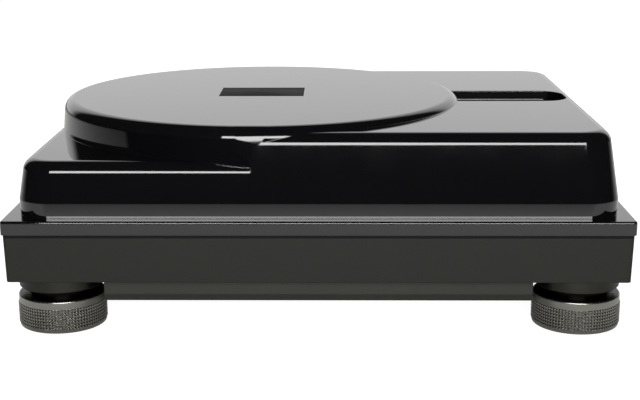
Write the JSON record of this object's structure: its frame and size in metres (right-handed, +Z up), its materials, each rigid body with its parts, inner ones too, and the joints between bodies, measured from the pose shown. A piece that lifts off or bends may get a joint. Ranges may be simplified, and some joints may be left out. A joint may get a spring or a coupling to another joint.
{
  "type": "turntable record player",
  "caption": "Direct-drive record player on screw-adjusted knurled feet, its deck, platter and tonearm under a glossy moulded hard cover.",
  "frame": {"origin": "middle of the object's footprint, on the surface that it stands on", "axes": "+X to the player's right, +Y to its back, +Z up"},
  "size_m": [0.4556, 0.3556, 0.1535],
  "materials": {
    "cover_gloss": "glossy moulded black",
    "badge_gloss": "glossy black plate",
    "deck_black": "satin black",
    "cabinet_paint": "fine matt texture",
    "base_rubber": "matt",
    "steel": "satin",
    "foot_black": "black anodised",
    "foot_knurled": "black anodised, knurled",
    "pad_rubber": "matt",
    "cast_metal": "die-cast",
    "copper": "enamelled wire",
    "brass": "turned",
    "magnet": "matt",
    "platter_metal": "turned",
    "mat_rubber": "matt, ribbed",
    "felt": "felt",
    "circuit_board": "solder mask",
    "core_steel": "lacquered",
    "black_plastic": "fine texture",
    "satin_metal": "satin anodised",
    "red_lens": "clear red moulding",
    "scale_black": "satin",
    "arm_black": "satin black",
    "arm_chrome": "polished",
    "stylus_white": "smooth"
  },
  "bodies": {
    "chassis": {"deck_top": "deck_black", "cabinet_shell": "cabinet_paint", "rubber_base": "base_rubber", "base_screws": "steel", "foot_collar_1": "foot_black", "foot_collar_2": "foot_black", "foot_collar_3": "foot_black", "foot_collar_4": "foot_black", "motor_plate": "cast_metal", "stator_coils": "copper", "bearing_housing": "brass", "main_board": "circuit_board", "transformer": "core_steel", "rca_jacks": "brass", "ground_terminal": "steel", "power_inlet": "black_plastic", "strobe_tower": "satin_metal", "strobe_lens": "red_lens", "fader_body": "black_plastic", "fader_scale": "scale_black", "light_sleeve": "satin_metal", "arm_base": "cast_metal", "arm_rest": "arm_black"},
    "cover": {"dust_cover": "cover_gloss", "cover_badge": "badge_gloss"},
    "platter": {"spindle": "steel", "rotor_magnet": "magnet", "platter": "platter_metal", "platter_mat": "mat_rubber", "slipmat": "felt"},
    "adapter": {"adapter_45": "satin_metal"},
    "power_knob": {"power_knob": "satin_metal"},
    "start_button": {"start_button": "satin_metal"},
    "speed_33": {"speed_33_button": "satin_metal"},
    "speed_45": {"speed_45_button": "satin_metal"},
    "reset": {"reset_button": "satin_metal"},
    "fader": {"fader_knob": "satin_metal"},
    "target_light": {"target_light": "satin_metal"},
    "height_ring": {"height_ring": "arm_black"},
    "arm_carriage": {"arm_carriage": "arm_black"},
    "cue_lever": {"cue_lever": "arm_chrome"},
    "cue_platform": {"cue_platform": "arm_black"},
    "anti_skate": {"anti_skate_dial": "arm_black"},
    "arm_yoke": {"arm_yoke": "cast_metal"},
    "tonearm": {"arm_tube": "arm_chrome", "headshell": "satin_metal", "cartridge": "black_plastic", "stylus": "stylus_white"},
    "shell_lock": {"headshell_collar": "arm_chrome"},
    "counterweight": {"counterweight": "satin_metal"},
    "weight_dial": {"weight_dial": "arm_black"},
    "arm_clip": {"arm_clip": "arm_black"},
    "foot_1_lift": {"foot_pad_1": "pad_rubber"},
    "foot_1_ring": {"foot_ring_1": "foot_knurled"},
    "foot_2_lift": {"foot_pad_2": "pad_rubber"},
    "foot_2_ring": {"foot_ring_2": "foot_knurled"},
    "foot_3_lift": {"foot_pad_3": "pad_rubber"},
    "foot_3_ring": {"foot_ring_3": "foot_knurled"},
    "foot_4_lift": {"foot_pad_4": "pad_rubber"},
    "foot_4_ring": {"foot_ring_4": "foot_knurled"}
  },
  "joints": [
    {"name": "cover_lift", "type": "slide", "parent": "chassis", "child": "cover", "axis": [0, 0, 1], "range_m": [0, 0.15]},
    {"name": "platter_spin", "type": "hinge", "parent": "chassis", "child": "platter", "pos_m": [-0.0483, 0, 0.0854], "axis": [0, 0, -1], "continuous": true},
    {"name": "adapter_lift", "type": "slide", "parent": "chassis", "child": "adapter", "axis": [0, 0, 1], "range_m": [0, 0.02]},
    {"name": "power_knob_turn", "type": "hinge", "parent": "chassis", "child": "power_knob", "pos_m": [-0.1995, -0.1, 0.0994], "axis": [0, 0, -1], "range_deg": [0, 45]},
    {"name": "start_press", "type": "slide", "parent": "chassis", "child": "start_button", "axis": [0, 0, -1], "range_m": [0, 0.0015], "stiffness_N_per_m": 400, "springref_m": -0.001},
    {"name": "speed_33_press", "type": "slide", "parent": "chassis", "child": "speed_33", "axis": [0, 0, -1], "range_m": [0, 0.0015], "stiffness_N_per_m": 400, "springref_m": -0.001},
    {"name": "speed_45_press", "type": "slide", "parent": "chassis", "child": "speed_45", "axis": [0, 0, -1], "range_m": [0, 0.0015], "stiffness_N_per_m": 400, "springref_m": -0.001},
    {"name": "reset_press", "type": "slide", "parent": "chassis", "child": "reset", "axis": [0, 0, -1], "range_m": [0, 0.0015], "stiffness_N_per_m": 400, "springref_m": -0.001},
    {"name": "pitch_slide", "type": "slide", "parent": "chassis", "child": "fader", "axis": [0, 1, 0], "range_m": [-0.05, 0.05]},
    {"name": "light_rise", "type": "slide", "parent": "chassis", "child": "target_light", "axis": [0, 0, 1], "range_m": [0, 0.026]},
    {"name": "height_ring_turn", "type": "hinge", "parent": "chassis", "child": "height_ring", "pos_m": [0.14961, 0.084, 0.0913], "axis": [0, 0, 1], "range_deg": [0, 180]},
    {"name": "arm_height", "type": "slide", "parent": "chassis", "child": "arm_carriage", "axis": [0, 0, 1], "range_m": [0, 0.006]},
    {"name": "cue_lever_turn", "type": "hinge", "parent": "arm_carriage", "child": "cue_lever", "pos_m": [0.17161, 0.06, 0.112], "axis": [-1, 0, 0], "range_deg": [0, 75]},
    {"name": "cue_rise", "type": "slide", "parent": "arm_carriage", "child": "cue_platform", "axis": [0, 0, 1], "range_m": [0, 0.00127]},
    {"name": "anti_skate_turn", "type": "hinge", "parent": "arm_carriage", "child": "anti_skate", "pos_m": [0.18261, 0.074, 0.107], "axis": [0, 0, 1], "range_deg": [0, 300]},
    {"name": "arm_swing", "type": "hinge", "parent": "arm_carriage", "child": "arm_yoke", "pos_m": [0.14961, 0.084, 0.107], "axis": [0, 0, -1], "range_deg": [0, 54]},
    {"name": "arm_pitch", "type": "hinge", "parent": "arm_yoke", "child": "tonearm", "pos_m": [0.14961, 0.084, 0.122], "axis": [-1, 0, 0], "range_deg": [0, 2.8]},
    {"name": "shell_lock_turn", "type": "hinge", "parent": "tonearm", "child": "shell_lock", "pos_m": [0.16834, -0.09964, 0.122], "axis": [-0.3746, -0.9272, 0], "range_deg": [0, 60]},
    {"name": "weight_slide", "type": "slide", "parent": "tonearm", "child": "counterweight", "axis": [0, -1, 0], "range_m": [-0.003, 0.012]},
    {"name": "weight_dial_turn", "type": "hinge", "parent": "counterweight", "child": "weight_dial", "pos_m": [0.14961, 0.114, 0.122], "axis": [0, -1, 0], "continuous": true},
    {"name": "arm_clip_turn", "type": "hinge", "parent": "chassis", "child": "arm_clip", "pos_m": [0.17654, -0.0317, 0.1286], "axis": [0.2756, -0.9613, 0], "range_deg": [0, 150]},
    {"name": "foot_1_extend", "type": "slide", "parent": "chassis", "child": "foot_1_lift", "axis": [0, 0, -1], "range_m": [0, 0.008]},
    {"name": "foot_1_turn", "type": "hinge", "parent": "foot_1_lift", "child": "foot_1_ring", "pos_m": [-0.1935, -0.1385, 0.012], "axis": [0, 0, 1], "range_deg": [0, 1440]},
    {"name": "foot_2_extend", "type": "slide", "parent": "chassis", "child": "foot_2_lift", "axis": [0, 0, -1], "range_m": [0, 0.008]},
    {"name": "foot_2_turn", "type": "hinge", "parent": "foot_2_lift", "child": "foot_2_ring", "pos_m": [0.1935, -0.1385, 0.012], "axis": [0, 0, 1], "range_deg": [0, 1440]},
    {"name": "foot_3_extend", "type": "slide", "parent": "chassis", "child": "foot_3_lift", "axis": [0, 0, -1], "range_m": [0, 0.008]},
    {"name": "foot_3_turn", "type": "hinge", "parent": "foot_3_lift", "child": "foot_3_ring", "pos_m": [0.1935, 0.1385, 0.012], "axis": [0, 0, 1], "range_deg": [0, 1440]},
    {"name": "foot_4_extend", "type": "slide", "parent": "chassis", "child": "foot_4_lift", "axis": [0, 0, -1], "range_m": [0, 0.008]},
    {"name": "foot_4_turn", "type": "hinge", "parent": "foot_4_lift", "child": "foot_4_ring", "pos_m": [-0.1935, 0.1385, 0.012], "axis": [0, 0, 1], "range_deg": [0, 1440]}
  ],
  "couplings": [
    {"joint": "arm_height", "follows": "height_ring_turn", "m_per_rad": 0.0019099},
    {"joint": "cue_rise", "follows": "cue_lever_turn", "m_per_rad": 0.00097144},
    {"joint": "arm_pitch", "follows": "cue_lever_turn", "ratio": 0.037333},
    {"joint": "foot_1_extend", "follows": "foot_1_turn", "m_per_rad": 0.00031831},
    {"joint": "foot_2_extend", "follows": "foot_2_turn", "m_per_rad": 0.00031831},
    {"joint": "foot_3_extend", "follows": "foot_3_turn", "m_per_rad": 0.00031831},
    {"joint": "foot_4_extend", "follows": "foot_4_turn", "m_per_rad": 0.00031831}
  ]
}
